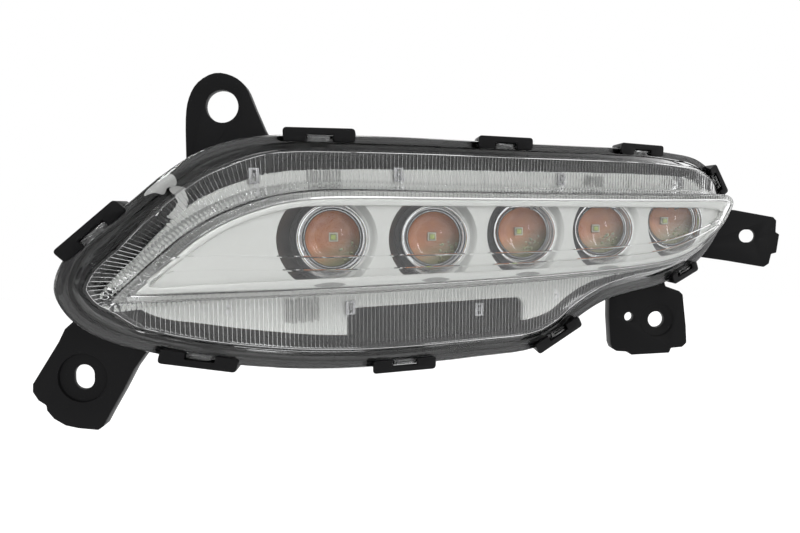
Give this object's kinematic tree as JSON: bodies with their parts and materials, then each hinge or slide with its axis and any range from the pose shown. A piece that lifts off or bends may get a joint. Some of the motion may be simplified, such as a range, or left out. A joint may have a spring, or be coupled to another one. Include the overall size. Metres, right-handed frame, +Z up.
{
  "type": "daytime running light",
  "caption": "Swept daytime running light for a car bumper: LED spots in silver pockets behind a ribbed clear lens, in a black housing with fixing ears.",
  "frame": {"origin": "centre of the upper left fixing hole, on the front face of its ear, as seen from in front of the car", "axes": "+X to the right as seen from in front of the car, +Y to the back, +Z up"},
  "size_m": [0.3414, 0.2322, 0.1272],
  "materials": {
    "housing_black": "fine grained black moulding",
    "lens_clear": "clear polycarbonate, ribbed inside",
    "seal_rubber": "soft sealing bead",
    "bezel_silver": "satin silver, metallised",
    "ring_chrome": "bright plated",
    "dome_clear": "clear polished dome",
    "led_cream": "cream package with a yellow chip",
    "film_copper": "orange film over copper",
    "sink_aluminium": "brushed",
    "screw_steel": "zinc plated",
    "board_green": "green solder mask",
    "component_dark": "dark moulded parts",
    "connector_black": "plain black",
    "pin_brass": "bright",
    "vent_rubber": "dull black"
  },
  "bodies": {
    "root": {"housing": "housing_black", "outer_lens": "lens_clear", "lens_seal": "seal_rubber", "bezel": "bezel_silver", "lens_ring_1": "ring_chrome", "lens_ring_2": "ring_chrome", "lens_ring_3": "ring_chrome", "lens_ring_4": "ring_chrome", "lens_ring_5": "ring_chrome", "condenser_lens_1": "dome_clear", "condenser_lens_2": "dome_clear", "condenser_lens_3": "dome_clear", "condenser_lens_4": "dome_clear", "condenser_lens_5": "dome_clear", "led_1": "led_cream", "led_2": "led_cream", "led_3": "led_cream", "led_4": "led_cream", "led_5": "led_cream", "flex_circuit": "film_copper", "heat_sink": "sink_aluminium", "heat_sink_screws": "screw_steel", "driver_board": "board_green", "board_components": "component_dark", "board_screws": "screw_steel", "bezel_screws": "screw_steel", "connector_socket": "connector_black", "connector_pins": "pin_brass", "vent_cap": "vent_rubber"}
  },
  "joints": []
}
